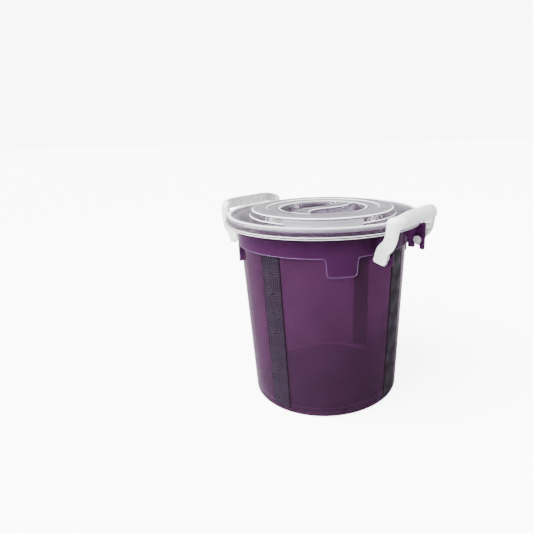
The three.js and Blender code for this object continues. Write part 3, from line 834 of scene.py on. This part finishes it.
# %% [markdown]
# ## The turn grip
# A bar crosses the well for the fingers. Its edges sweep like an S and flare where they meet the well's wall.
# It is a sheet like the rest of the lid, so it is a top with walls under it, not a block.

# %% Turn grip
GRIP_REACH = 76.0
GRIP_SWAY = 13
GRIP_HALF_WIDTH = 12
GRIP_FLARE = 9
GRIP_SKEW = 31
BAR_STEPS = 28


def bar_edge(side):
    """One edge of the bar, from one end of the well to the other."""
    made = []
    for i in range(BAR_STEPS + 1):
        t = 2 * i / BAR_STEPS - 1
        x = GRIP_SWAY * math.sin(math.pi * t) + side * (GRIP_HALF_WIDTH + GRIP_FLARE * abs(t) ** 3)
        made.append((x, GRIP_REACH * t, WELL_EDGE_Z - 0.4))
    return made


bar = drawn_line("lid_turn_bar", bar_edge(1) + bar_edge(-1)[::-1], closed=True)
bpy.ops.mesh.edge_face_add()
bpy.ops.mesh.inset(thickness=1.6 * MM, depth=0)
bpy.ops.transform.translate(value=(0, 0, 0.5 * MM))
bpy.ops.object.mode_set(mode="OBJECT")
bpy.ops.object.mode_set(mode="EDIT")
bpy.ops.mesh.select_all(action="DESELECT")
bpy.ops.mesh.select_mode(type="EDGE")
bpy.ops.mesh.select_non_manifold(
    extend=False, use_wire=False, use_multi_face=False, use_non_contiguous=False, use_verts=False)
bpy.ops.mesh.extrude_region_move(TRANSFORM_OT_translate={"value": (0, 0, -5 * MM)})
bpy.ops.mesh.extrude_region_move(TRANSFORM_OT_translate={"value": (0, 0, -9.3 * MM)})
bpy.ops.mesh.select_mode(type="VERT")
finished(bar, clear)
bar_wall = bar.modifiers.new("wall", "SOLIDIFY")
bar_wall.thickness = 1.8 * MM
bar_wall.offset = -1
bpy.ops.object.modifier_apply(modifier=bar_wall.name)
finished(bar, clear, bevel=0.45)
# The bar's upper edges take the milky material, partly a painted highlight along them.
bar.data.materials.append(milky_highlight)
for face in bar.data.polygons:
    if face.center.z / MM > WELL_EDGE_Z - 1.6 and abs(face.normal.z) < 0.97:
        face.material_index = MILKY_HIGHLIGHT_INDEX
bar.data.transform(Matrix.Rotation(math.radians(LID_TURN - GRIP_SKEW), 4, "Z"))
placed(bar, "lid", "lid", "lid_turn_grip")

# %% [markdown]
# ## The seal ring
# A soft ring lies in the lid's rim and is pressed onto the bucket. It is hidden, but the clear lid lets it show.

# %% Seal ring
seal = turned("seal_band", [
    (166.6, 336.9), (170.6, 336.9), (171.2, 339), (170.4, 341.5), (167, 341.5), (166.4, 340.6), (167.4, 339),
], steps=160, soft=0.5)
finished(seal, soft_seal)
placed(seal, "lid", "seal", "lid_seal_ring")

# %% [markdown]
# ## The clamp handles
# A handle is one sheet: a grip along the lid's edge, folded round at both ends into arms that sweep to the pins.
# A flange runs round the back of the whole outline, so it is a channel that is open towards the bucket.
# The easy way to make it is flat. The outline is drawn unrolled, given its flange and its ribs, and only then
# wrapped round the two upright corners. A voxel remesh first joins all of it into one soft-edged moulding.

# %% Handle outline, unrolled
GRIP_U = 194.0
SIDE_V = 78.0
GRIP_CORNER = 18.0
GRIP_FOOT_Z, GRIP_TOP_Z = 340.0, 360.5
ARM_HALF_WIDTH = 10.8
ARM_OVERRUN = 8.6
ARM_SHOULDER_Z = 333
CORNER_START = SIDE_V - GRIP_CORNER
SIDE_START = CORNER_START + GRIP_CORNER * math.pi / 2
SIDE_START_U = GRIP_U - GRIP_CORNER


def unrolled(u):
    """Distance along the sheet, from the middle of the grip, of a place u on the side."""
    return SIDE_START + SIDE_START_U - u


def smooth_line(points, steps):
    """A curve through points, evenly cut between each pair, as (place, direction)."""
    made = []
    for i in range(len(points) - 1):
        a, b = Vector(points[max(i - 1, 0)]), Vector(points[i])
        c, d = Vector(points[i + 1]), Vector(points[min(i + 2, len(points) - 1)])
        for k in range(steps + (i == len(points) - 2)):
            t = k / steps
            p = 0.5 * (2 * b + (c - a) * t + (2 * a - 5 * b + 4 * c - d) * t**2 + (3 * b - a - 3 * c + d) * t**3)
            slope = 0.5 * ((c - a) + 2 * (2 * a - 5 * b + 4 * c - d) * t + 3 * (3 * b - a - 3 * c + d) * t**2)
            made.append((p, slope.normalized()))
    return made


arm_curve = smooth_line([(178.5, 348), (178, 339), (176.2, 326), (171.5, 314), (161.8, 303), (158, 290.5)], 5)
inner_side = [p + Vector((d.y, -d.x)) * ARM_HALF_WIDTH for p, d in arm_curve]
outer_side = [p - Vector((d.y, -d.x)) * ARM_HALF_WIDTH for p, d in arm_curve]
overrun = arm_curve[-1][1] * ARM_OVERRUN
square_end = [inner_side[-1], inner_side[-1] + overrun, outer_side[-1] + overrun, outer_side[-1]]
arm_cap = [p.to_2d() for p in softened([p.to_3d() for p in square_end], 5.5, steps=5)][1:-1]
outer_side = [p for p in outer_side if p.y < ARM_SHOULDER_Z]
print("arm:", len(arm_curve), "places; its cap ends at", [round(c, 1) for c in arm_cap[-1]])

# %% Handle sheet
FLANGE_DEPTH = 7.0
FLANGE_WALL = 2.6
WEB = 2.8
SHOULDER_START, SHOULDER_END = (181, GRIP_TOP_Z), (167.7, 348)


def quarter_turn(start, corner, end, steps=7):
    """A curve from start to end that leaves both towards the corner."""
    start, corner, end = Vector(start), Vector(corner), Vector(end)
    made = []
    for k in range(1, steps + 1):
        t = k / steps
        made.append(start * (1 - t) ** 2 + corner * 2 * t * (1 - t) + end * t**2)
    return made


shoulder = quarter_turn(SHOULDER_START, (SHOULDER_END[0], GRIP_TOP_Z), SHOULDER_END)
fillet = quarter_turn(outer_side[0], (outer_side[0].x + 0.5, GRIP_FOOT_Z), (198, GRIP_FOOT_Z))
arm_outline = [Vector(SHOULDER_START)] + shoulder + inner_side[1:] + arm_cap + outer_side[::-1] + fillet
half_outline = [(unrolled(p.x), p.y) for p in arm_outline]
middle_top = [(s, GRIP_TOP_Z) for s in (-66, -44, -22, 0, 22, 44, 66)]
middle_foot = [(s, GRIP_FOOT_Z) for s in (44, 22, 0, -22, -44)]
whole_outline = middle_top + half_outline + middle_foot + [(-s, z) for s, z in reversed(half_outline)]
sheet = drawn_line("handle_sheet", [(s, 0, z) for s, z in whole_outline], closed=True)
filled(FLANGE_DEPTH)
bpy.ops.mesh.normals_make_consistent(inside=False)
bpy.ops.object.mode_set(mode="OBJECT")
bpy.ops.object.mode_set(mode="EDIT")
bpy.ops.mesh.select_all(action="DESELECT")
bpy.ops.mesh.select_mode(type="FACE")
sheet_mesh = bmesh.from_edit_mesh(sheet.data)
for face in sheet_mesh.faces:
    face.select = face.calc_center_median().y > (FLANGE_DEPTH - 0.1) * MM
bmesh.update_edit_mesh(sheet.data)
bpy.ops.mesh.inset(thickness=FLANGE_WALL * MM, depth=0)
bpy.ops.mesh.extrude_region_move(TRANSFORM_OT_translate={"value": (0, -(FLANGE_DEPTH - WEB) * MM, 0)})
bpy.ops.mesh.select_mode(type="VERT")
bpy.ops.object.mode_set(mode="OBJECT")
print("handle sheet:", len(sheet.data.vertices), "points,", FLANGE_DEPTH, "mm deep")

# %% Handle ribs and pins
GRIP_RIB_STEP = 17
VOXEL = 0.66
PIN_TIP = SIDE_V - 59.4
PIN_NECK = SIDE_V - 61.1
PIN_COLLAR = SIDE_V - 66.3
pin_section = [
    (0, PIN_TIP), (5.2, PIN_TIP), (5.8, PIN_TIP - 0.6), (5.8, PIN_NECK), (7.5, PIN_NECK - 0.6),
    (7.5, PIN_COLLAR), (9.6, PIN_COLLAR), (9.6, 1.4), (0, 1.4),
]


def flat_box(name, low, high):
    """A box between two corners in millimetres."""
    bpy.ops.object.select_all(action="DESELECT")
    bpy.ops.mesh.primitive_cube_add(size=1, location=[(a + b) / 2 * MM for a, b in zip(low, high)])
    made = bpy.context.object
    made.name = name
    bpy.ops.object.mode_set(mode="EDIT")
    bpy.ops.mesh.select_all(action="SELECT")
    bpy.ops.transform.resize(value=[(b - a) * MM for a, b in zip(low, high)])
    bpy.ops.object.mode_set(mode="OBJECT")
    bpy.ops.object.transform_apply(location=True, rotation=False, scale=False)
    return made


handle_parts = [sheet]
for k in range(-4, 5):
    s = k * GRIP_RIB_STEP
    handle_parts.append(flat_box("grip_rib", (s - 0.9, 1, 342), (s + 0.9, FLANGE_DEPTH - 1.2, 358.5)))
for side in (-1, 1):
    for p, slope in arm_curve[3:20:4]:
        s = side * unrolled(p.x)
        low, high = (s - 9.6, 1, p.y - 0.8), (s + 9.6, FLANGE_DEPTH - 1.6, p.y + 0.8)
        handle_parts.append(flat_box("arm_rib", low, high))
    pin = turned("pin", pin_section, steps=48, closed=False, soft=0.3)
    finished(pin, white)
    pin.data.transform(Matrix.Rotation(math.radians(-90), 4, "X"))
    pin.data.transform(Matrix.Translation((side * unrolled(PIVOT_U) * MM, 0, PIVOT_Z * MM)))
    handle_parts.append(pin)
handle = joined(handle_parts, "clamp_handle_right")
handle.data.remesh_voxel_size = VOXEL * MM
handle.data.remesh_voxel_adaptivity = 0
bpy.ops.object.voxel_remesh()
bpy.ops.object.mode_set(mode="EDIT")
bpy.ops.mesh.select_all(action="SELECT")
bpy.ops.mesh.vertices_smooth(factor=0.5, repeat=5)
bpy.ops.object.mode_set(mode="OBJECT")
print("handle, flat:", len(handle.data.polygons), "faces")

# %% [markdown]
# The grip leans in towards its top edge, and its ends are a little lower than its middle.
# Each point is moved by its distance along the sheet: straight, round a corner, or straight along a side.

# %% Wrap the handle round its corners
GRIP_LEAN = 6.5
EAR_DROP = 4.0
EAR_START, EAR_END = 34.0, 92.0
LEAN_FOOT_Z = GRIP_FOOT_Z + 4
for v in handle.data.vertices:
    s, depth, z = (c / MM for c in v.co)
    along, side = abs(s), 1 if s > 0 else -1
    rise = max(0.0, z - LEAN_FOOT_Z) / (GRIP_TOP_Z - LEAN_FOOT_Z)
    depth += GRIP_LEAN * rise**2.4
    ear = min(1.0, max(0.0, (along - EAR_START) / (EAR_END - EAR_START)))
    z -= EAR_DROP * rise * ear * ear * (3 - 2 * ear)
    if along < CORNER_START:
        u, across = GRIP_U - depth, along
    elif along < SIDE_START:
        angle = (along - CORNER_START) / GRIP_CORNER
        u = GRIP_U - GRIP_CORNER + (GRIP_CORNER - depth) * math.cos(angle)
        across = CORNER_START + (GRIP_CORNER - depth) * math.sin(angle)
    else:
        u, across = SIDE_START_U - (along - SIDE_START), SIDE_V - depth
    v.co = Vector((u, side * across, z)) * MM
finished(handle, white, angle=80)
left_handle = turned_copy(handle, "clamp_handle_left", 180)
handle_nodes = ("grip", "arm_front", "arm_rear", "pin_front", "pin_rear")
placed(left_handle, "handle_left", "handle", *[f"handle_left_{n}" for n in handle_nodes])
placed(handle, "handle_right", "handle", *[f"handle_right_{n}" for n in handle_nodes])
